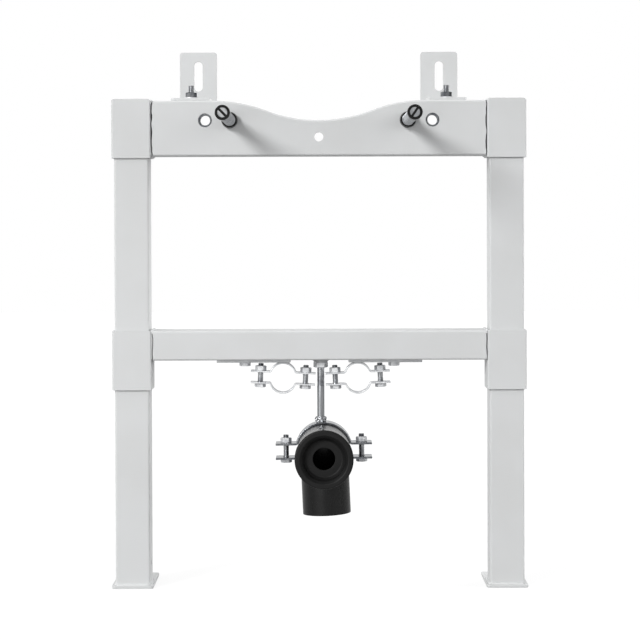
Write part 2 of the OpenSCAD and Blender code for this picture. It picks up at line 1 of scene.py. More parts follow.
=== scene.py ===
# %% [markdown]
# # Installation frame for a wall-hung bidet
# The real object is a welded steel frame with a light grey powder coat. Two long studs carry
# the bidet, two open clamps hold the water pipes, and a hanging clamp holds a black waste elbow.
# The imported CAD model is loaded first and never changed: it says where everything sits.
# Each lesson step below makes one kind of piece that stands for a CAD node, with more detail.

# %% Load the frame
import json
import math

import bpy
from mathutils import Matrix, Vector

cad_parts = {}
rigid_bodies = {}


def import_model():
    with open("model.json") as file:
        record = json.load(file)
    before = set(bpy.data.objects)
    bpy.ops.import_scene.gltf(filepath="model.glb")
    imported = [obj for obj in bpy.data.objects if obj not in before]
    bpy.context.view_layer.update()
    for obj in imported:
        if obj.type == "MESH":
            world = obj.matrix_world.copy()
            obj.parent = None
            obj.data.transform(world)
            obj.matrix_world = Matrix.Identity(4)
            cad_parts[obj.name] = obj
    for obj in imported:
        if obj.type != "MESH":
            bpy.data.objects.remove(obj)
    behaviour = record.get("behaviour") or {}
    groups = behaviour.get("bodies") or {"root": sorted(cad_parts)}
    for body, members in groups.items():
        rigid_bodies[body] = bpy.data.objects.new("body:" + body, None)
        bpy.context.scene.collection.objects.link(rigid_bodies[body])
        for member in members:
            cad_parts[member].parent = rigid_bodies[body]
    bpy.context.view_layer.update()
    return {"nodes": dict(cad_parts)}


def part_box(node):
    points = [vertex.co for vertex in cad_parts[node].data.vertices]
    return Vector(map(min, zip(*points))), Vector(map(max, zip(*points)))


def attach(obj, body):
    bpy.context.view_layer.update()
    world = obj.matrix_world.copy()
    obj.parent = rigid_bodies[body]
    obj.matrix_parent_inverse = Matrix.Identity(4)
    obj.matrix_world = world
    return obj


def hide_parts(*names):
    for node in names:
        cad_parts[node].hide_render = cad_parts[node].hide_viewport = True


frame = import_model()
nodes = frame["nodes"]
MM = 0.001

# %% [markdown]
# ## Places
# Every place is read from the CAD nodes' boxes, so a change in the CAD model carries over.
# The few sizes that no box gives, such as thread pitches, are written down with their names.

# %% Read the places from the CAD
front_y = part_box("left_top_sleeve")[0].y
back_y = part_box("left_top_sleeve")[1].y
middle_y = (front_y + back_y) / 2
rail_bottom, rail_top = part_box("top_rail")[0].z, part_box("top_rail")[1].z
rail_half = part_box("top_rail")[1].x
low_rail_bottom, low_rail_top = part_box("lower_rail")[0].z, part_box("lower_rail")[1].z
leg_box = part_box("right_leg")
leg_x = (leg_box[0].x + leg_box[1].x) / 2
stud_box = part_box("right_stud")
stud_x = (stud_box[0].x + stud_box[1].x) / 2
stud_z = (stud_box[0].z + stud_box[1].z) / 2
print("front", round(front_y, 4), "rail top", round(rail_top, 4))
print("stud", round(stud_x, 4), round(stud_z, 4))

# %% [markdown]
# ## Selecting
# So each step first deselects everything, and then takes the one piece that it works on.

# %% Helpers that select
def take(piece):
    """Makes piece the only selected and the active object."""
    if bpy.context.mode != "OBJECT":
        bpy.ops.object.mode_set(mode="OBJECT")
    bpy.ops.object.select_all(action="DESELECT")
    piece.select_set(True)
    bpy.context.view_layer.objects.active = piece
    return piece


def named(name):
    """Names the primitive that was just added."""
    piece = bpy.context.active_object
    piece.name = name
    piece.data.name = name
    return piece


def edit_all(piece):
    """Opens piece in edit mode with all of it selected."""
    take(piece)
    bpy.ops.object.mode_set(mode="EDIT")
    bpy.ops.mesh.select_all(action="SELECT")


def leave_edit():
    bpy.ops.object.mode_set(mode="OBJECT")


def deselect():
    """Nothing stays selected, so that a new primitive is alone."""
    if bpy.context.mode != "OBJECT":
        bpy.ops.object.mode_set(mode="OBJECT")
    bpy.ops.object.select_all(action="DESELECT")


# %% [markdown]
# ## Modifiers and copies
# A modifier is the quickest way to bevel or cut a whole piece, and applying it leaves a plain
# mesh. A finished piece sits at the origin, unturned, with its place in its mesh, as CAD nodes do.

# %% Helpers that finish and copy
def modify(piece, kind, **settings):
    """Adds one modifier, sets it and applies it."""
    take(piece)
    modifier = piece.modifiers.new(kind, kind)
    for name, value in settings.items():
        setattr(modifier, name, value)
    bpy.ops.object.modifier_apply(modifier=modifier.name)
    return piece


def settle(piece, at=(0, 0, 0), turn=(0, 0, 0)):
    """Turns and moves a piece, and writes both into its mesh."""
    piece.rotation_euler = turn
    piece.location = at
    take(piece)
    bpy.ops.object.transform_apply(location=True, rotation=True, scale=True)
    return piece


def copy_of(piece, name):
    """A copy with its own mesh."""
    twin = bpy.data.objects.new(name, piece.data.copy())
    bpy.context.scene.collection.objects.link(twin)
    return twin


def drop(piece):
    """Takes a model or a tool away again."""
    bpy.data.objects.remove(piece)


def cut(piece, tool, operation="DIFFERENCE"):
    """Cuts piece by tool, joins them, or keeps what both hold. The tool is used up."""
    modify(piece, "BOOLEAN", object=tool, operation=operation, solver="EXACT")
    drop(tool)
    return piece


def join(name, pieces):
    """Joins several pieces into one object."""
    take(pieces[0])
    for piece in pieces[1:]:
        piece.select_set(True)
    bpy.ops.object.join()
    pieces[0].name = name
    return pieces[0]


MERGE = 0.004 * MM


def drop_slivers(piece):
    """Collapses faces without an area."""
    edit_all(piece)
    bpy.ops.mesh.dissolve_degenerate(threshold=MERGE / 2)
    leave_edit()
    return piece


def outwards(piece):
    """Merges what meets and turns every face outwards."""
    edit_all(piece)
    bpy.ops.mesh.remove_doubles(threshold=MERGE)
    bpy.ops.mesh.normals_make_consistent(inside=False)
    leave_edit()
    return piece


SMOOTH_ANGLE = math.radians(32)


def smooth(piece, angle=SMOOTH_ANGLE):
    """Shades rounded faces smooth and leaves sharp edges sharp."""
    take(piece)
    bpy.ops.object.shade_smooth_by_angle(angle=angle, keep_sharp_edges=False)
    return piece


def soften(piece, width, segments=2, angle=28):
    """Rounds every edge that is sharper than angle, and keeps flat faces shaded flat."""
    modify(piece, "BEVEL", width=width, segments=segments, limit_method="ANGLE",
           angle_limit=math.radians(angle), use_clamp_overlap=True, miter_outer="MITER_ARC")
    return even_shading(piece)


def even_shading(piece):
    """Shades large flat faces flat and lets the small rounded ones turn between them."""
    smooth(piece)
    return modify(piece, "WEIGHTED_NORMAL", keep_sharp=True, weight=80)


# %% [markdown]
# ## Softened copies of CAD nodes
# A CAD node's mesh is loose triangles with knife-sharp edges. Real sheet and tube has edges
# rounded by bending and by the coat, and they catch the light. A copy is merged, its flat
# triangles are dissolved into whole faces, and a bevel then rounds the edges.

# %% Copy a CAD node as a clean mesh
FLAT_ANGLE = math.radians(0.4)


def whole_faces(piece):
    """Merges what meets and dissolves flat triangles into whole faces."""
    edit_all(piece)
    bpy.ops.mesh.remove_doubles(threshold=MERGE)
    bpy.ops.mesh.dissolve_limited(angle_limit=FLAT_ANGLE)
    leave_edit()
    return piece


def clean_copy(node, name):
    """A copy of a CAD node's mesh, with its flat faces whole."""
    return whole_faces(copy_of(nodes[node], name))


# %% [markdown]
# ## Camera
# The photograph is taken from about two metres, level with the middle of the frame, with a long
# lens. The frame fills most of the square picture, so a long lens, a small shift and a small
# tilt give the same framing. The picture leans by a fifth of a degree, and so does the camera.

# %% Camera
CAMERA_DISTANCE = 2.1
CAMERA_HEIGHT = 0.378
CAMERA_TILT = math.radians(0.69)
CAMERA_ROLL = math.radians(-0.18)
CAMERA_SIDE = 0.9 * MM
CAMERA_SHIFT_DOWN = -0.125
LENS_MM = 116.83
SENSOR_MM = 36
camera_data = bpy.data.cameras.new("camera")
camera = bpy.data.objects.new("camera", camera_data)
bpy.context.scene.collection.objects.link(camera)
camera_data.sensor_width = SENSOR_MM
camera_data.lens = LENS_MM
camera_data.shift_y = CAMERA_SHIFT_DOWN
camera.matrix_world = (
    Matrix.Translation((CAMERA_SIDE, front_y - CAMERA_DISTANCE, CAMERA_HEIGHT))
    @ Matrix.Rotation(math.pi / 2 - CAMERA_TILT, 4, "X")
    @ Matrix.Rotation(CAMERA_ROLL, 4, "Z")
)
bpy.context.scene.camera = camera
print("camera at", [round(value, 3) for value in camera.location])

# %% [markdown]
# ## Shader maths
# Shader nodes are easier to read as formulas. A small class wraps a socket, and its operators
# add Math nodes. Another holds one finish and adds any other node.

# %% A socket that can be used in formulas
class Socket:
    """A shader output that adds Math nodes when it is used in a formula."""

    def __init__(self, finish, output):
        self.finish = finish
        self.output = output

    def maths(self, operation, first, second):
        return self.finish.node("ShaderNodeMath", {"operation": operation}, {0: first, 1: second})

    def __add__(self, other):
        return self.maths("ADD", self, other)

    def __radd__(self, other):
        return self.maths("ADD", other, self)

    def __sub__(self, other):
        return self.maths("SUBTRACT", self, other)

    def __rsub__(self, other):
        return self.maths("SUBTRACT", other, self)

    def __mul__(self, other):
        return self.maths("MULTIPLY", self, other)

    def __rmul__(self, other):
        return self.maths("MULTIPLY", other, self)

    def clamped(self, low, high):
        """Runs from 0 at low to 1 at high, and stays there."""
        return self.finish.node("ShaderNodeMapRange", {"interpolation_type": "SMOOTHSTEP"},
                                {"Value": self, "From Min": low, "From Max": high})


class Finish:
    """A node tree under construction, for a material or the world."""

    def __init__(self, holder):
        holder.use_nodes = True
        self.holder = holder
        self.tree = holder.node_tree

    def node(self, kind, settings, sockets, output=0):
        """Adds a node, sets it, then gives its sockets values or links."""
        made = self.tree.nodes.new(kind)
        for name, value in settings.items():
            setattr(made, name, value)
        for name, value in sockets.items():
            if isinstance(value, Socket):
                self.tree.links.new(value.output, made.inputs[name])
            else:
                made.inputs[name].default_value = value
        return Socket(self, made.outputs[output])

    def feed(self, name, value):
        """Feeds or sets one socket of the material's main shader."""
        socket = self.tree.nodes["Principled BSDF"].inputs[name]
        if isinstance(value, Socket):
            self.tree.links.new(value.output, socket)
        else:
            socket.default_value = value

    def place(self):
        return self.node("ShaderNodeTexCoord", {}, {}, "Object")

    def noise(self, scale, detail=2.0, roughness=0.5):
        """Soft noise from 0 to 1. Scale counts its features in a metre."""
        return self.node("ShaderNodeTexNoise", {},
                         {"Vector": self.place(), "Scale": scale, "Detail": detail,
                          "Roughness": roughness})

    def mixed(self, share, first, second):
        """A colour between two colours."""
        return self.node("ShaderNodeMix", {"data_type": "RGBA"},
                         {0: share, 6: first, 7: second}, 2)

    def bump(self, height, distance, strength):
        """Lets a height tilt the surface a little. Distance is the bumps' height in metres."""
        self.feed("Normal", self.node("ShaderNodeBump", {},
                                      {"Height": height, "Distance": distance, "Strength": strength}))

    def ray(self, kind):
        """1 for light rays of one kind, such as Camera or Glossy, and 0 for others."""
        return self.node("ShaderNodeLightPath", {}, {}, "Is " + kind + " Ray")


def new_finish(name):
    return Finish(bpy.data.materials.new(name))


print("shader helpers are ready")

# %% [markdown]
# ## Light grey powder coat
# Powder coat is sprayed dry and melts in an oven. It flows into a faint orange peel, and its
# gloss is soft. The peel is a bump of 0.03 mm, and the shade drifts slightly.

# %% Powder coat
def grey(level):
    """A neutral colour of that linear level."""
    return (level, level, level, 1)


def make_powder_coat():
    finish = new_finish("light_grey_powder_coat")
    drift = finish.noise(14, 3)
    shade = finish.mixed(drift.clamped(0.3, 0.7), (0.542, 0.549, 0.550, 1), (0.565, 0.573, 0.577, 1))
    finish.feed("Base Color", shade)
    finish.feed("Roughness", 0.36 + 0.1 * finish.noise(60, 2))
    peel = finish.noise(620, 2, 0.45)
    finish.bump(peel, 0.03 * MM, 0.6)
    return finish.holder


powder_coat = make_powder_coat()
print("made", powder_coat.name)

# %% [markdown]
# ## Zinc plate
# Bolts, nuts and clamps are plated with zinc. It is a grey metal whose tiny crystals blur its
# reflections unevenly, with slightly darker patches where it was handled or has dulled. On flat
# strip, nuts and bolt heads it is satin, and on threads it is darker and shinier. The long studs'
# zinc is painted darker still, and the waste clamp, the weld nuts, the bracket nuts and the bolts'
# bare ends get the darkest zinc: both are painted shade. The straps' zinc is pale and barely a
# metal, as painted light on their shaded front edges. Drawn bar has streaks.

# %% Zinc plate
def make_zinc(name, dull, bright, smoothest, spread, metal=1.0):
    """Zinc whose shade runs from dull to bright and whose roughness starts at smoothest."""
    finish = new_finish(name)
    patches = finish.noise(170, 3)
    shade = finish.mixed(patches.clamped(0.35, 0.68), (dull, dull + 0.01, dull + 0.03, 1),
                         (bright, bright + 0.01, bright + 0.02, 1))
    finish.feed("Base Color", shade)
    finish.feed("Metallic", metal)
    finish.feed("Roughness", smoothest + spread * finish.noise(420, 3))
    finish.bump(finish.noise(1500, 2), 0.01 * MM, 0.5)
    return finish.holder


satin_zinc = make_zinc("zinc_plate_satin", 0.60, 0.80, 0.36, 0.18, 0.7)
dull_zinc = make_zinc("zinc_plate_threads", 0.44, 0.64, 0.22, 0.16)
# Painted shade: the studs' zinc is painted darker than the threads'.
shaded_stud_zinc = make_zinc("zinc_plate_studs_painted_shade", 0.30, 0.50, 0.26, 0.16)
# Painted shade: the darkest zinc, for the waste clamp, the weld nuts, the bracket nuts and the bolts'
# bare ends.
painted_shade_zinc = make_zinc("zinc_plate_painted_shade", 0.17, 0.32, 0.18, 0.14)
# Painted light: pale, barely metallic zinc for the straps, whose front edges the rail shades.
painted_light_zinc = make_zinc("zinc_plate_painted_light", 0.82, 0.90, 0.45, 0.15, 0.1)


def make_drawn_zinc():
    """Zinc on drawn bar: streaks that run along the bar, and no bumps."""
    finish = new_finish("zinc_plate_drawn")
    many_round_few_along = (700, 700, 12)
    stretched = finish.node("ShaderNodeVectorMath", {"operation": "MULTIPLY"},
                            {0: finish.place(), 1: many_round_few_along})
    streaks = finish.node("ShaderNodeTexNoise", {}, {"Vector": stretched, "Scale": 1.0, "Detail": 2.0})
    finish.feed("Base Color", finish.mixed(streaks.clamped(0.35, 0.65), (0.26, 0.27, 0.28, 1),
                                           (0.52, 0.53, 0.55, 1)))
    finish.feed("Metallic", 1.0)
    finish.feed("Roughness", 0.28 + 0.14 * streaks)
    return finish.holder


drawn_zinc = make_drawn_zinc()
for zinc in (satin_zinc, dull_zinc, shaded_stud_zinc, painted_shade_zinc, painted_light_zinc, drawn_zinc):
    print("made", zinc.name)

# %% [markdown]
# ## Black plastic and rubber
# The elbow is black polyethylene with a waxy gloss. The seal is rubber: as black, but duller.
# Neither is a true black, and both pick up a little dust.

# %% Black plastic and rubber
BLACK = 0.005
DUSTY = 0.16
DUST = 0.02


def make_black(name, roughness, spread, shine):
    """A black of a given shine, with clouds of dust on it."""
    finish = new_finish(name)
    finish.feed("Specular IOR Level", shine)
    cloud = finish.noise(45, 4)
    finish.feed("Base Color", finish.mixed(cloud.clamped(0.45, 0.8) * DUST, grey(BLACK), grey(DUSTY)))
    finish.feed("Roughness", roughness + spread * finish.noise(160, 3))
    finish.bump(finish.noise(800, 2), 0.02 * MM, 0.5)
    return finish.holder


black_plastic = make_black("black_polyethylene", 0.2, 0.12, 0.30)
seal_rubber = make_black("seal_rubber", 0.42, 0.16, 0.22)
print("made", black_plastic.name, seal_rubber.name)

# %% [markdown]
# ## Handing a piece over
# Each finished piece gets its finish, rides on the one body of this object, and says which CAD
# nodes it stands for, so that they don't show.

# %% Hand over
LOOKS = {
    "light_grey_paint": powder_coat,
    "zinc_plate": satin_zinc,
    "black_plastic": black_plastic,
    "seal_rubber": seal_rubber,
}
KEEP_FINISH = "keep"
handed = []


def hand_over(piece, slot, *replaced, finish=None):
    """Gives a piece its finish and its place in the object."""
    if finish != KEEP_FINISH:
        piece.data.materials.clear()
        piece.data.materials.append(finish or LOOKS[slot])
    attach(piece, "root")
    if replaced:
        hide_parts(*replaced)
    handed.append(piece.name)
    return piece


def count(*pieces):
    """Prints how many triangles pieces have."""
    for piece in pieces:
        piece.data.calc_loop_triangles()
        print(piece.name, len(piece.data.loop_triangles), "triangles")


# %% [markdown]
# ## Joint lines
# Where a rail meets a sleeve, the front was left unwelded: the paint shows a dark, slightly
# wandering line. A thin upright sheet is displaced by soft noise, given a thickness, and cut
# from the rail's end, which leaves a real slit. Loose chips beside it are deleted.

# %% Slits at the rails' ends
wander = bpy.data.textures.new("wander", "CLOUDS")
wander.noise_scale = 13 * MM
SLIT_DEPTH = 7 * MM
SLIT_WANDER = 3.4 * MM
SLIT_INSET = 0.7 * MM


def slit(x, low, high, width):
    """A thin wandering sheet in the front of a joint, from height low to high."""
    deselect()
    bpy.ops.mesh.primitive_grid_add(x_subdivisions=2, y_subdivisions=36, size=1)
    sheet = named("slit_form")
    settle(sheet, turn=(0, 0, math.pi / 2))
    settle(sheet, turn=(0, math.pi / 2, 0))
    sheet.scale = (1, SLIT_DEPTH, high - low)
    settle(sheet, (x, front_y, (low + high) / 2))
    modify(sheet, "DISPLACE", texture=wander, texture_coords="GLOBAL", direction="X",
           strength=SLIT_WANDER, mid_level=0.5)
    modify(sheet, "SOLIDIFY", thickness=width, offset=0)
    return outwards(sheet)


def drop_chips(piece):
    """Deletes loose chips that cuts in the front have left, and keeps what the back belongs to."""
    edit_all(piece)
    bpy.ops.mesh.select_all(action="DESELECT")
    leave_edit()
    max(piece.data.vertices, key=lambda point: point.co.y).select = True
    bpy.ops.object.mode_set(mode="EDIT")
    bpy.ops.mesh.select_linked()
    bpy.ops.mesh.select_all(action="INVERT")
    bpy.ops.mesh.delete(type="VERT")
    leave_edit()


def slit_ends(rail, low, high, width):
    """Cuts a slit into the front of both ends of a rail."""
    for sign in (-1, 1):
        cut(rail, slit(sign * (rail_half - SLIT_INSET), low, high, width))
    drop_chips(rail)
    even_shading(rail)


# %% [markdown]
# ## Tubes, sleeves and plates
# The frame is cut from drawn tube and sheet. Their corners are already round in the CAD, so
# only the cut ends and hole edges need their small burr-free rounding.

# %% Legs, lower sleeves, foot plates and brackets
SIDES = ("left", "right")
SIGN = {"left": -1, "right": 1}
PARTS = ("_leg", "_lower_sleeve", "_foot_plate", "_wall_bracket")
painted = [side + part for side in SIDES for part in PARTS]
EDGE = {"_leg": 0.4, "_sleeve": 0.5, "_plate": 0.5, "_bracket": 0.5}


def edge_of(node):
    """The rounding of a node's cut edges."""
    return next(width for part, width in EDGE.items() if node.endswith(part)) * MM


for node in painted:
    piece = soften(clean_copy(node, node + "_painted"), edge_of(node))
    hand_over(piece, "light_grey_paint", node)
    count(piece)

# %% Lower rail
RAIL_EDGE = 0.5 * MM
RAIL_EDGE_ANGLE = 40
LOW_SLIT_W = 0.8 * MM
LOW_SLIT_STOP = 3 * MM
lower_rail = clean_copy("lower_rail", "lower_rail_painted")
soften(lower_rail, RAIL_EDGE, 2, RAIL_EDGE_ANGLE)
slit_ends(lower_rail, low_rail_bottom - MM, low_rail_top - LOW_SLIT_STOP, LOW_SLIT_W)
hand_over(lower_rail, "light_grey_paint", "lower_rail")
count(lower_rail)

# %% [markdown]
# ## Top sleeves with their caps
# The caps are welded on and ground, so that sleeve and cap look like one piece. The two solids
# are joined by a boolean, and one bevel runs over both.

# %% Top sleeves
SLEEVE_EDGE = 0.6 * MM
for side in SIDES:
    sleeve = clean_copy(side + "_top_sleeve", side + "_top_sleeve_painted")
    lid = clean_copy(side + "_cap", side + "_cap_form")
    cut(sleeve, lid, "UNION")
    soften(whole_faces(sleeve), SLEEVE_EDGE, 3)
    hand_over(sleeve, "light_grey_paint", side + "_top_sleeve", side + "_cap")
    count(sleeve)

# %% [markdown]
# ## Top rail
# The saddle-backed rail is pressed and welded, and its top edges are rounder than the cut ends.
# The long top edges are found by their place and given a bevel weight, so that a first bevel
# rounds only them.

# %% Top rail
TOP_EDGE_R = 2 * MM
TOP_SLIT_W = 1.3 * MM
SADDLE_DEEP = 21 * MM
SPARE_X = 115 * MM
HOLE_CLEAR = 8 * MM
TOUCH = 0.01 * MM
SHORT = 0.05 * MM


def weigh_edges(piece, chosen):
    """Gives the edges that chosen picks a full bevel weight."""
    mesh = piece.data
    weights = mesh.attributes.new("bevel_weight_edge", "FLOAT", "EDGE")
    picked = 0
    for edge in mesh.edges:
        first, second = (mesh.vertices[index].co for index in edge.vertices)
        if chosen(first, second):
            weights.data[edge.index].value = 1.0
            picked += 1
    return picked


def is_long_top_edge(first, second):
    """True on the outer top edges of the rail, front and back, and not at a hole's rim."""
    points = (first, second)
    on_face = any(all(abs(point.y - face_y) < TOUCH for point in points)
                  for face_y in (front_y, back_y))
    high = min(first.z, second.z) > rail_top - SADDLE_DEEP
    along = abs(first.x - second.x) > SHORT
    at_hole = any(math.hypot(abs(point.x) - hole_x, point.z - stud_z) < HOLE_CLEAR
                  for point in points for hole_x in (stud_x, SPARE_X))
    return on_face and high and along and not at_hole


rail = clean_copy("top_rail", "top_rail_painted")
print("top edges picked:", weigh_edges(rail, is_long_top_edge))
modify(rail, "BEVEL", width=TOP_EDGE_R, segments=5, limit_method="WEIGHT", use_clamp_overlap=True)
soften(rail, RAIL_EDGE, 2, RAIL_EDGE_ANGLE)
slit_ends(rail, rail_bottom - MM, rail_top + MM, TOP_SLIT_W)
hand_over(rail, "light_grey_paint", "top_rail")
count(rail)

# %% [markdown]
# ## Turning on the lathe
# Round parts are drawn as half a profile and spun. The profile is drawn by extruding one vertex
# from point to point, as one would by hand, and a Screw modifier without a rise spins it.

# %% Lathe
def profile(name, points):
    """A chain of edges through (radius, height) points, drawn by extruding one vertex."""
    deselect()
    bpy.ops.mesh.primitive_plane_add(size=MM)
    piece = named(name)
    bpy.ops.object.mode_set(mode="EDIT")
    bpy.ops.mesh.select_all(action="SELECT")
    bpy.ops.mesh.merge(type="CENTER")
    bpy.ops.transform.translate(value=(points[0][0], 0, points[0][1]))
    for here, there in zip(points, points[1:]):
        step = (there[0] - here[0], 0, there[1] - here[1])
        bpy.ops.mesh.extrude_region_move(TRANSFORM_OT_translate={"value": step})
    leave_edit()
    return piece


def turned(name, points, steps=64):
    """A closed round part along +Z. The profile starts and ends on the axis, or closes itself."""
    piece = profile(name, points)
    modify(piece, "SCREW", axis="Z", angle=2 * math.pi, steps=steps, render_steps=steps,
           screw_offset=0, use_merge_vertices=True, merge_threshold=MERGE)
    return outwards(piece)


# %% [markdown]
# ## Threads
# A thread is one small profile, a pitch high, that climbs as it is spun. The Screw modifier does
# both. The rod is made too long, its ends are cut flat, and a turned form with chamfered ends
# trims it to length. The rough cuts lie a little past the ends, at a height where no thread has
# a vertex, so that they close. Depths and flanks are shares of the pitch.

# %% Threaded rods
THREAD_DEPTH = 0.58
ROOT_TO = 0.16
CREST_FROM = 0.5
CREST_TO = 0.66
THREAD_ANGLE = math.radians(38)
TRIM = 0.0437 * MM
M6_PITCH = MM
M8_PITCH = 1.25 * MM
M12_PITCH = 1.75 * MM


def threaded_rod(name, diameter, pitch, length, steps=24, chamfer=1.0, ends=(True, True)):
    """A rod from z = 0 up to length, threaded all along."""
    radius = diameter / 2
    depth = THREAD_DEPTH * pitch
    turns = math.ceil(length / pitch) + 3
    start = -1.5 * pitch
    rod = profile(name, [
        (radius - depth, start),
        (radius - depth, start + ROOT_TO * pitch),
        (radius, start + CREST_FROM * pitch),
        (radius, start + CREST_TO * pitch),
        (radius - depth, start + pitch),
    ])
    modify(rod, "SCREW", axis="Z", angle=2 * math.pi, steps=steps, render_steps=steps,
           screw_offset=pitch, iterations=turns, use_merge_vertices=True, merge_threshold=MERGE)
    edit_all(rod)
    bpy.ops.mesh.remove_doubles(threshold=MERGE)
    bpy.ops.mesh.select_all(action="SELECT")
    bpy.ops.mesh.bisect(plane_co=(0, 0, -TRIM), plane_no=(0, 0, 1), use_fill=True, clear_inner=True,
                        threshold=MERGE / 10)
    bpy.ops.mesh.select_all(action="SELECT")
    bpy.ops.mesh.bisect(plane_co=(0, 0, length + TRIM), plane_no=(0, 0, 1), use_fill=True,
                        clear_outer=True, threshold=MERGE / 10)
    leave_edit()
    outwards(rod)
    low = chamfer * depth if ends[0] else 0
    high = chamfer * depth if ends[1] else 0
    room = 0.02 * MM
    form = turned(name + "_form", [
        (0, 0), (radius + room - low, 0), (radius + room, low),
        (radius + room, length - high), (radius + room - high, length), (0, length),
    ], 48)
    cut(rod, form, "INTERSECT")
    return smooth(drop_slivers(rod), THREAD_ANGLE)


# %% [markdown]
# ## Hexagon nuts and bolt heads
# A real nut has its corners turned off at a shallow angle, which gives the curved facets that
# make it look like a nut. A six-sided cylinder is intersected with a turned form that has those
# cones. Its edges are then bevelled a little, so that they catch the light.

# %% Hexagons
FACE_SHARE = 0.95
CORNER_SLOPE = math.tan(math.radians(17))
FACET_EDGE = 0.18 * MM


def hexagon(name, flats, height, cones=(True, True)):
    """A hexagon from z = 0 up, with a flat face to the front and its corners turned off."""
    corner = flats / math.sqrt(3)
    deselect()
    bpy.ops.mesh.primitive_cylinder_add(vertices=6, radius=corner, depth=height)
    blank = settle(named(name), (0, 0, height / 2), (0, 0, math.pi / 6))
    face = flats / 2 * FACE_SHARE
    fall = (corner - face) * CORNER_SLOPE
    low = fall if cones[0] else 0
    high = fall if cones[1] else 0
    room = 0.01 * MM
    form = turned(name + "_form", [
        (0, -room), (face if cones[0] else corner + room, -room), (corner + room, low),
        (corner + room, height - high), (face if cones[1] else corner + room, height + room),
        (0, height + room),
    ], 48)
    cut(blank, form, "INTERSECT")
    return blank


def bevel_facets(piece):
    """Breaks a hexagon's edges. The small angle keeps its facets shaded flat."""
    edit_all(piece)
    bpy.ops.mesh.remove_doubles(threshold=0.03 * MM)
    leave_edit()
    modify(piece, "BEVEL", width=FACET_EDGE, segments=2, limit_method="ANGLE",
           angle_limit=math.radians(25))
    return smooth(piece, math.radians(12))


# %% Nuts and bolts
M6_D = 6 * MM
M6_FLATS = 10 * MM
M6_HEAD = 4 * MM
BARE_END = 2.4 * MM
CLEAR = 0.1 * MM
SINK = 1.25 * MM


def nut(name, flats, height, thread):
    """A nut with a bore that is countersunk at both ends."""
    body = hexagon(name, flats, height)
    radius = thread / 2 + CLEAR / 2
    sink = turned(name + "_sink", [
        (0, -MM), (radius + SINK, -MM), (radius - CLEAR, 0.5 * MM),
        (radius - CLEAR, height - 0.5 * MM), (radius + SINK, height + MM), (0, height + MM),
    ], 32)
    cut(body, sink)
    return bevel_facets(body)


def two_tone(piece, low_finish, high_finish, height):
    """Gives a piece one finish below a height and another above it."""
    piece.data.materials.append(low_finish)
    piece.data.materials.append(high_finish)
    for facet in piece.data.polygons:
        facet.material_index = int(facet.center.z > height)
    return piece


def bolt(name, length):
    """An M6 bolt with a satin head below z = 0 and a dull shank above it; its bare end is painted
    darker, as painted shade.
    """
    head = settle(bevel_facets(hexagon(name, M6_FLATS, M6_HEAD, (True, False))), (0, 0, -M6_HEAD))
    shank = threaded_rod(name + "_shank", M6_D, M6_PITCH, length, 20)
    head.data.materials.append(satin_zinc)
    two_tone(shank, dull_zinc, painted_shade_zinc, length - BARE_END)
    return join(name, [head, shank])


# %% [markdown]
# ## The bidet studs
# Two M12 rods stand 160 mm out from the rail. The tip has a screwdriver slot, and a black plastic
# ring keeps the thread from being hurt. A black web joined to the ring lies in the slot as painted
# shade, so that the slot shows dark. A black collar centres the bidet's hole.

# %% Studs
STUD_D = 12 * MM
STUD_CHAMFER = 1.48
SLOT_W = 2.4 * MM
SLOT_DEEP = 2.5 * MM
SLOT_TURN = {"left": -45, "right": 35}
TIP_FACE = 1.2 * MM
stud_tip, stud_tail = stud_box[0].y, stud_box[1].y
stud = threaded_rod("stud_model", STUD_D, M12_PITCH, stud_tail - stud_tip, 28, STUD_CHAMFER)
deselect()
bpy.ops.mesh.primitive_cube_add(size=1, scale=(SLOT_W, STUD_D + 2 * MM, 2 * SLOT_DEEP))
cut(stud, settle(named("slot_form")))
smooth(stud, THREAD_ANGLE)
# The stud's body gets zinc painted darker, as painted shade; its tip face keeps the thread zinc.
two_tone(stud, dull_zinc, shaded_stud_zinc, TIP_FACE)
for side in SIDES:
    piece = copy_of(stud, side + "_stud_threaded")
    settle(piece, turn=(0, 0, math.radians(SLOT_TURN[side])))
    settle(piece, (SIGN[side] * stud_x, stud_tip, stud_z), (-math.pi / 2, 0, 0))
    hand_over(piece, "zinc_plate", side + "_stud", finish=KEEP_FINISH)
    count(piece)
drop(stud)

# %% Collars and cap rings
collar_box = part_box("stud_collars")
ring_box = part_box("stud_cap_rings")
collar_l = collar_box[1].y - collar_box[0].y
collar_r = (collar_box[1].z - collar_box[0].z) / 2
ring_l = ring_box[1].y - ring_box[0].y
ring_r = (ring_box[1].z - ring_box[0].z) / 2
BORE_R = STUD_D / 2 + CLEAR
TIP_R = 4.5 * MM
TIP_CONE = STUD_D / 2 - TIP_R
SHADE_WEB_SUNK = 0.5 * MM
SHADE_WEB_T = SLOT_DEEP - SHADE_WEB_SUNK


def rounded(points, name, steps=64, width=0.35, segments=3):
    """A turned part with softened rims."""
    piece = turned(name, points, steps)
    return soften(piece, width * MM, segments)


collar = rounded([
    (BORE_R, 0), (collar_r, 0), (collar_r, collar_l - 2.2 * MM), (collar_r - 0.8 * MM, collar_l),
    (BORE_R, collar_l), (BORE_R, 0),
], "collar_model")
cap_ring = rounded([
    (BORE_R, 0), (ring_r, 0), (ring_r, ring_l), (TIP_R + CLEAR, ring_l),
    (BORE_R, ring_l - TIP_CONE), (BORE_R, 0),
], "ring_model")
deselect()
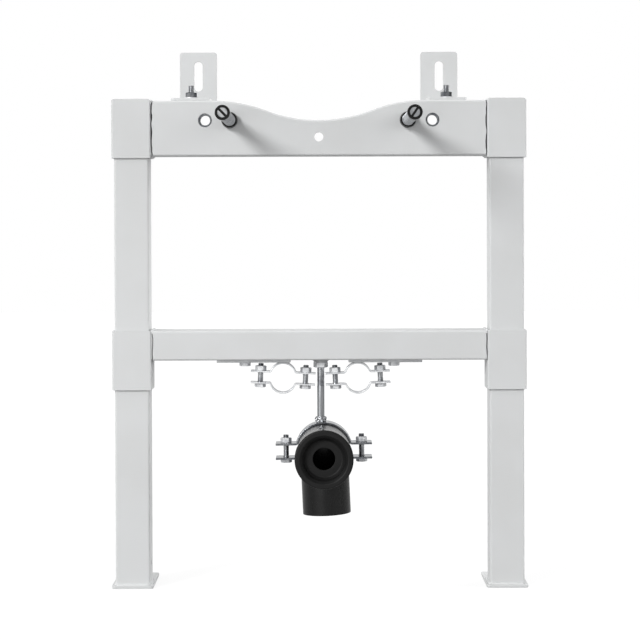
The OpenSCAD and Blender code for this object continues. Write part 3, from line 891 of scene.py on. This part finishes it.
# Painted shade: a black web in the stud's slot, joined to the cap ring, makes the slot's floor dark.
bpy.ops.mesh.primitive_cube_add(size=1, scale=(SLOT_W - CLEAR, 2 * BORE_R + MM, SHADE_WEB_T))
slot_shade_web = settle(named("slot_shade_web"), (0, 0, ring_l - SHADE_WEB_SUNK - SHADE_WEB_T / 2))
cap_ring = join("ring_model", [cap_ring, soften(slot_shade_web, 0.2 * MM)])
collars, rings = [], []
for side in SIDES:
    one = copy_of(collar, side + "_collar")
    collars.append(settle(one, (SIGN[side] * stud_x, front_y, stud_z), (math.pi / 2, 0, 0)))
    one = settle(copy_of(cap_ring, side + "_ring"), turn=(0, 0, -math.radians(SLOT_TURN[side])))
    rings.append(settle(one, (SIGN[side] * stud_x, ring_box[1].y, stud_z), (math.pi / 2, 0, 0)))
drop(collar)
drop(cap_ring)
count(hand_over(join("stud_collars_moulded", collars), "black_plastic", "stud_collars"))
count(hand_over(join("stud_cap_rings_moulded", rings), "black_plastic", "stud_cap_rings"))
print("collar radius", round(collar_r / MM, 2), "ring radius", round(ring_r / MM, 2))

# %% [markdown]
# ## Weld nuts
# Behind the rail's front sit four welded nuts. The two outer ones are spare, and their threads
# show through the holes.

# %% Weld nuts
weld_nut_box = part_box("weld_nuts")
WELD_NUT_FLATS = 19 * MM
weld_nut_t = weld_nut_box[1].y - weld_nut_box[0].y
weld_nuts = []
for x in (-stud_x, stud_x, -SPARE_X, SPARE_X):
    one = hexagon("weld_nut", WELD_NUT_FLATS, weld_nut_t)
    tap = threaded_rod("tap", STUD_D + 2 * CLEAR, M12_PITCH, weld_nut_t + 2 * MM, 28,
                       ends=(False, False))
    cut(one, settle(tap, (0, 0, -MM)))
    smooth(drop_slivers(one))
    weld_nuts.append(settle(one, (x, weld_nut_box[1].y, stud_z), (math.pi / 2, 0, 0)))
# The weld nuts get the darkest zinc, as painted shade inside the rail.
count(hand_over(join("weld_nuts_tapped", weld_nuts), "zinc_plate", "weld_nuts", finish=painted_shade_zinc))

# %% [markdown]
# ## Wall brackets' fixings
# Each bracket slides on a stud in the rail's top and is held by a washer and a nut.

# %% Bracket studs, washers and nuts
bracket_x = (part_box("right_wall_bracket")[0].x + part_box("right_wall_bracket")[1].x) / 2
washer_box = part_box("bracket_washers")
bracket_nut_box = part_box("bracket_nuts")
bracket_stud_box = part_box("bracket_studs")
STUD_HEAD_R = 5 * MM
STUD_HEAD_T = 2 * MM
WASHER_BORE_R = 3.3 * MM
washer_r = (washer_box[1].y - washer_box[0].y) / 2
washer_t = washer_box[1].z - washer_box[0].z
stud_low = rail_top - 2 * MM
model_stud = join("bracket_stud_model", [
    threaded_rod("bracket_stud_model", M6_D, M6_PITCH, bracket_stud_box[1].z - stud_low),
    turned("bracket_head_model", [
        (0, -STUD_HEAD_T), (STUD_HEAD_R, -STUD_HEAD_T), (STUD_HEAD_R, 0), (0, 0),
    ]),
])
model_washer = rounded([
    (WASHER_BORE_R, 0), (washer_r, 0), (washer_r, washer_t),
    (WASHER_BORE_R, washer_t), (WASHER_BORE_R, 0),
], "washer_model", width=0.2)
model_nut = nut("bracket_nut_model", M6_FLATS, bracket_nut_box[1].z - bracket_nut_box[0].z, M6_D)


def pair(model, name, node, z, x=bracket_x, finish=None):
    """Two copies of a model, left and right, as one piece of zinc."""
    twins = [settle(copy_of(model, name), (sign * x, middle_y, z)) for sign in (-1, 1)]
    drop(model)
    count(hand_over(join(name, twins), "zinc_plate", node, finish=finish))


pair(model_stud, "bracket_studs_threaded", "bracket_studs", stud_low, finish=dull_zinc)
pair(model_washer, "bracket_washers_round", "bracket_washers", washer_box[0].z)
# The bracket nuts get the darkest zinc, as painted shade.
pair(model_nut, "bracket_nuts_hexagon", "bracket_nuts", bracket_nut_box[0].z, finish=painted_shade_zinc)

# %% [markdown]
# ## Straps and pipe clamps
# The straps and clamp halves are punched from zinc-plated strip. Their shape is right in the
# CAD, so they need only their punched edges rounded. The straps' zinc is painted light and the
# waste clamp's is painted shade.

# %% Straps and clamp halves
STRIP_EDGE = 0.35 * MM
strips = {
    "left_strap": painted_light_zinc,
    "right_strap": painted_light_zinc,
    "waste_clamp_upper": painted_shade_zinc,
    "waste_clamp_lower": painted_shade_zinc,
    "left_clamp_upper": satin_zinc,
    "left_clamp_lower": satin_zinc,
    "right_clamp_upper": satin_zinc,
    "right_clamp_lower": satin_zinc,
}
for node, finish in strips.items():
    piece = soften(clean_copy(node, node + "_plated"), STRIP_EDGE)
    hand_over(piece, "zinc_plate", node, finish=finish)
    count(piece)

# %% [markdown]
# ## Clamp bolts and nuts
# Each clamp has a bolt and a nut at both ends. A clamp's bolt is modelled once and copied, and
# all clamps share one nut. They hang slightly askew, so bolts and nuts are turned with them.

# %% Water pipe clamps' bolts and nuts
NUT_H = 5 * MM
CLAMP_X = 37.5 * MM
CLAMP_SHIFT = -0.3 * MM
CLAMP_BOLT_X = 23 * MM
CLAMP_TILT = math.radians(2.5)
CLAMP_T = 1.5 * MM
CLAMP_GAP = 10 * MM
CLAMP_HEIGHT = 16 * MM
CLAMP_SPARE = 2.4 * MM
strap_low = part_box("left_strap")[0].z
rod_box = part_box("hanger_rod")
hanger_x = (rod_box[0].x + rod_box[1].x) / 2
m6_nut = nut("m6_nut", M6_FLATS, NUT_H, M6_D)


def fixings(model, pivot, tilt, half, up):
    """Copies of a bolt or nut at both ends of a clamp that is tilted about pivot."""
    turn = Matrix.Rotation(-tilt, 4, "Y")
    return [settle(copy_of(model, "fixing"), pivot + turn @ Vector((end * half, 0, up)), (0, -tilt, 0))
            for end in (-1, 1)]


def bolt_clamp(clamp, gap, thick, spare, pivot, tilt, half, middle):
    """Hands over the bolts and nuts of a clamp whose middle lies that far above its pivot."""
    model = bolt("clamp_bolt", gap + 2 * thick + NUT_H + spare)
    flank = gap / 2 + thick
    bolts = join(clamp + "_bolts_threaded", fixings(model, pivot, tilt, half, -flank + middle))
    nuts = join(clamp + "_nuts_hexagon", fixings(m6_nut, pivot, tilt, half, flank + middle))
    drop(model)
    hand_over(bolts, "zinc_plate", clamp + "_bolts", finish=KEEP_FINISH)
    hand_over(nuts, "zinc_plate", clamp + "_nuts")
    count(bolts, nuts)


for side in SIDES:
    pivot = Vector((hanger_x + CLAMP_SHIFT + SIGN[side] * CLAMP_X, middle_y, strap_low))
    bolt_clamp(side + "_clamp", CLAMP_GAP, CLAMP_T, CLAMP_SPARE, pivot, SIGN[side] * CLAMP_TILT,
               CLAMP_BOLT_X, -CLAMP_HEIGHT)

# %% Waste clamp's and straps' bolts
RING_BOLT_X = 38.5 * MM
RING_GAP = 12.5 * MM
RING_T = 2 * MM
RING_SPARE = 3 * MM
RING_TURN = math.radians(0.7)
ring_middle = (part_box("waste_clamp_upper")[1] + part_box("waste_clamp_lower")[0]) / 2
bolt_clamp("waste_clamp", RING_GAP, RING_T, RING_SPARE, ring_middle, RING_TURN, RING_BOLT_X, 0)
drop(m6_nut)
strap_bolt_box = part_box("strap_bolts")
strap_bolt_z = strap_bolt_box[0].z + M6_HEAD
strap_bolt_x = strap_bolt_box[1].x - M6_FLATS / math.sqrt(3)
strap_bolt = bolt("strap_bolt", strap_bolt_box[1].z - strap_bolt_z)
pair(strap_bolt, "strap_bolts_threaded", "strap_bolts", strap_bolt_z, strap_bolt_x, KEEP_FINISH)

# %% [markdown]
# ## Hanger
# A flared boss is welded under the lower rail. A nut under it locks the hanger rod, and the rod
# ends in a nut that is welded on the crown of the waste clamp.

# %% Hanger boss, nut and rod
M8_FLATS = 13 * MM
ROD_THREAD = 36 * MM
boss_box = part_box("hanger_boss")
hanger_nut_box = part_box("hanger_nut")
boss_h = boss_box[1].z - boss_box[0].z
nut_h = hanger_nut_box[1].z - hanger_nut_box[0].z
rod_r = (rod_box[1].x - rod_box[0].x) / 2
plain_r = rod_r - 0.25 * MM
thread_low = rod_box[1].z - rod_box[0].z - ROD_THREAD
boss = rounded([
    (rod_r + CLEAR, 0), (7 * MM, 0), (7.5 * MM, 0.35 * boss_h), (8.7 * MM, 0.7 * boss_h),
    (11 * MM, boss_h), (rod_r + CLEAR, boss_h), (rod_r + CLEAR, 0),
], "hanger_boss_welded", width=0.25)
settle(boss, (hanger_x, middle_y, boss_box[0].z))
hand_over(boss, "light_grey_paint", "hanger_boss")
lock_nut = nut("hanger_nut_hexagon", M8_FLATS, nut_h, 2 * rod_r)
settle(lock_nut, (hanger_x, middle_y, hanger_nut_box[0].z))
hand_over(lock_nut, "zinc_plate", "hanger_nut")
thread = threaded_rod("rod_thread", 2 * rod_r, M8_PITCH, ROD_THREAD, 32)
settle(thread, (0, 0, thread_low))
shank = rounded([
    (0, 0), (plain_r, 0), (plain_r, thread_low + 0.5 * MM),
    (plain_r - MM, thread_low + 1.5 * MM), (0, thread_low + 1.5 * MM),
], "rod_shank", 48, 0.2)
thread.data.materials.append(dull_zinc)
shank.data.materials.append(drawn_zinc)
rod = settle(join("hanger_rod_part_threaded", [thread, shank]), (hanger_x, middle_y, rod_box[0].z))
hand_over(rod, "zinc_plate", "hanger_rod", finish=KEEP_FINISH)
count(boss, lock_nut, rod)

# %% [markdown]
# ## The weld on the crown
# The rod's nut is welded to the crown of the waste clamp, and the weld nearly hides it. Drops of
# steel are set round the nut, and a voxel remesh melts drops and nut into one lumpy skin. The
# drops' turns, sizes and heights repeat in different rhythms, so that the weld looks uneven.

# %% Crown nut with its weld
DROPS = 11
DROP_RING_R = 4.6 * MM
NUT_SHRINK = 0.86
WELD_ANGLE = math.radians(60)
scatter = bpy.data.textures.new("scatter", "CLOUDS")
scatter.noise_scale = 2.5 * MM
crown_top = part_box("ring_nut")[1].z
crown = soften(clean_copy("ring_nut", "crown_form"), 0.5 * MM, 2)
edit_all(crown)
bpy.ops.transform.resize(value=(NUT_SHRINK, NUT_SHRINK, 1), center_override=(hanger_x, middle_y, 0))
leave_edit()
drops = [crown]
for index in range(DROPS):
    turn = math.radians(32.7 * index + 9 * (index % 3))
    size = (1.3 + 0.45 * ((index * 5) % 4) / 1.5) * MM
    height = crown_top - (1.7 + 2.6 * ((index * 7) % 5) / 4) * MM
    deselect()
    bpy.ops.mesh.primitive_uv_sphere_add(segments=16, ring_count=10, radius=size, location=(
        hanger_x + DROP_RING_R * math.cos(turn), middle_y + DROP_RING_R * math.sin(turn), height))
    drops.append(named("drop"))
crown = join("ring_nut_welded", drops)
settle(crown)
modify(crown, "REMESH", mode="VOXEL", voxel_size=0.35 * MM)
modify(crown, "DISPLACE", texture=scatter, texture_coords="LOCAL", strength=1.2 * MM, mid_level=0.5)
hand_over(smooth(crown, WELD_ANGLE), "zinc_plate", "ring_nut", finish=dull_zinc)
count(crown)

# %% [markdown]
# ## Waste elbow and seal
# The elbow is moulded polyethylene: smooth, with soft rims. The rubber seal in its socket is a
# turned part with a rolled flange and a stepped funnel.

# %% Waste elbow and seal
elbow = soften(clean_copy("waste_elbow", "waste_elbow_moulded"), 0.7 * MM, 3)
hand_over(elbow, "black_plastic", "waste_elbow")
seal = soften(clean_copy("waste_seal", "waste_seal_moulded"), 0.5 * MM, 3)
hand_over(seal, "seal_rubber", "waste_seal")
count(elbow, seal)

# %% [markdown]
# ## Welds
# A weld bead is a row of overlapping drops of steel. One drop is repeated by an Array modifier,
# a voxel remesh melts the row into one skin, and a little noise takes away the regularity.
# Beads are copied to the joints' tops, bottoms and backs, and round the legs' feet.

# %% Weld beads
BEAD_R = 1.7 * MM
BEAD_STEP = 1.5 * MM
BEAD_FLAT = 0.8
BEAD_END = 2 * MM
CROSS_BEAD_L = 36 * MM
FOOT_BEAD_L = 33 * MM


def weld_bead(name, length):
    """A bead along +Y, from y = 0 to length."""
    deselect()
    bpy.ops.mesh.primitive_uv_sphere_add(segments=16, ring_count=10, radius=BEAD_R,
                                         scale=(1, BEAD_FLAT, 1))
    bead = settle(named(name), (0, BEAD_R, 0))
    drops = max(2, round((length - 2 * BEAD_R) / BEAD_STEP) + 1)
    modify(bead, "ARRAY", count=drops, use_relative_offset=False, use_constant_offset=True,
           constant_offset_displace=(0, (length - 2 * BEAD_R) / (drops - 1), 0))
    modify(bead, "REMESH", mode="VOXEL", voxel_size=0.5 * MM)
    modify(bead, "DISPLACE", texture=scatter, texture_coords="LOCAL", strength=0.5 * MM, mid_level=0.5)
    return smooth(bead, WELD_ANGLE)


cross_bead = weld_bead("cross_bead", CROSS_BEAD_L)
rail_bead = weld_bead("rail_bead", rail_top - rail_bottom - 2 * BEAD_END)
low_rail_bead = weld_bead("low_rail_bead", low_rail_top - low_rail_bottom - 2 * BEAD_END)
foot_bead = weld_bead("foot_bead", FOOT_BEAD_L)

# %% Copy the beads to the joints
ALONG = (0, 0, 0)
UPRIGHT = (math.pi / 2, 0, 0)
SIDEWAYS = (0, 0, -math.pi / 2)
foot_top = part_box("left_foot_plate")[1].z
leg_half = (leg_box[1].x - leg_box[0].x) / 2
seams = (rail_top - 0.5 * MM, rail_bottom + 0.4 * MM,
         low_rail_top - 0.4 * MM, low_rail_bottom + 0.4 * MM)
for side in SIDES:
    joint_x = SIGN[side] * (rail_half - 0.3 * MM)
    foot_x = SIGN[side] * leg_x
    beads = [(cross_bead, (joint_x, front_y + BEAD_END, seam), ALONG) for seam in seams]
    beads += [(rail_bead, (joint_x, back_y - MM, rail_bottom + BEAD_END), UPRIGHT),
              (low_rail_bead, (joint_x, back_y - MM, low_rail_bottom + BEAD_END), UPRIGHT)]
    beads += [(foot_bead, (foot_x + edge, middle_y - FOOT_BEAD_L / 2, foot_top), ALONG)
              for edge in (-leg_half, leg_half)]
    beads += [(foot_bead, (foot_x - FOOT_BEAD_L / 2, middle_y + edge, foot_top), SIDEWAYS)
              for edge in (leg_half, -leg_half)]
    welds = [settle(copy_of(model, "bead"), at, turn) for model, at, turn in beads]
    count(hand_over(join(side + "_welds", welds), "light_grey_paint"))
for model in (cross_bead, rail_bead, low_rail_bead, foot_bead):
    drop(model)

# %% [markdown]
# ## Floor
# A pale floor catches the soft shadow. For camera rays it also glows a little, so that lit floor
# is as white as the backdrop and only the shadow remains.

# %% Floor
FLOOR_SIZE = 12


def make_floor_finish():
    finish = new_finish("white_floor")
    finish.feed("Base Color", grey(0.17))
    finish.feed("Roughness", 0.9)
    finish.feed("Specular IOR Level", 0.0)
    finish.feed("Emission Color", grey(1.0))
    camera_ray = finish.ray("Camera")
    mirror_ray = finish.ray("Glossy")
    finish.feed("Emission Strength", camera_ray * 0.82 + (1 - camera_ray) * 0.08 + mirror_ray * 0.3)
    return finish.holder


deselect()
bpy.ops.mesh.primitive_plane_add(size=FLOOR_SIZE)
floor = named("floor")
floor.data.materials.append(make_floor_finish())
print("staged", floor.name)

# %% [markdown]
# ## Light
# One broad lamp stands to the left of the camera, a little above it: the studs' shadows fall to
# the lower right with soft edges. The room is white behind and above the object and darker on
# the camera's side, which is what gives the bare metal its dark streaks. A weak fill lamp stands
# low on the left, so the lower left of the frame is the lightest, as in the photograph.

# %% Key lamp
KEY_TO = Vector((-0.71, -1.0, 0.555))
key_data = bpy.data.lights.new("key", "SUN")
key_data.energy = 2.5
key_data.angle = math.radians(17)
key = bpy.data.objects.new("key", key_data)
bpy.context.scene.collection.objects.link(key)
key.rotation_euler = KEY_TO.to_track_quat("Z", "Y").to_euler()
print("key lamp", key_data.energy)

# %% Fill lamp
FILL_AT = Vector((-0.6, -0.95, 0.06))
FILL_TO = Vector((0, 0, 0.08))
fill_data = bpy.data.lights.new("fill", "AREA")
fill_data.energy = 2.8
fill_data.size = 0.8
fill = bpy.data.objects.new("fill", fill_data)
bpy.context.scene.collection.objects.link(fill)
fill.location = FILL_AT
fill.rotation_euler = (FILL_AT - FILL_TO).to_track_quat("Z", "Y").to_euler()

# %% White room
world = bpy.data.worlds.new("white_room")
bpy.context.scene.world = world
room = Finish(world)
direction = room.node("ShaderNodeTexCoord", {}, {}, "Generated")


def panel(towards, edge, core):
    """1 within a cone round a direction and 0 outside it. Edge and core are cosines."""
    along = room.node("ShaderNodeVectorMath", {"operation": "DOT_PRODUCT"},
                      {0: direction, 1: Vector(towards).normalized()}, "Value")
    return along.clamped(edge, core)


soft_light = (0.75 - 0.75 * panel((0, -1, 0), 0.2, 0.76) + 0.02 * panel((0, 0, 1), 0.4, 0.95)
              + 3.1 * panel((1, 0.05, 0), 0.4, 0.9) + 1.1 * panel((-1, 0.05, 0), 0.4, 0.9))
mirrored = (0.10 + 0.85 * panel((0, 1, 0), 0.8, 0.95) + 0.8 * panel((-0.6, -0.8, 0.3), 0.88, 0.96)
            + 0.6 * panel((0.85, -0.5, 0.1), 0.82, 0.95) + 0.6 * panel((0, 0.2, 1), 0.6, 0.85)
            + 0.4 * panel((-0.15, -1, 0.1), 0.8, 0.95) + 0.7 * panel((-0.87, 0.5, 0), 0.84, 0.95))
seen = room.ray("Camera")
gloss = room.ray("Glossy")
strength = seen + (1 - seen) * (gloss * mirrored + (1 - gloss) * soft_light)
back = room.tree.nodes["Background"]
back.inputs["Color"].default_value = grey(1.0)
room.tree.links.new(strength.output, back.inputs["Strength"])
bpy.context.scene.view_settings.view_transform = "Standard"
print("pieces handed over:", len(handed))
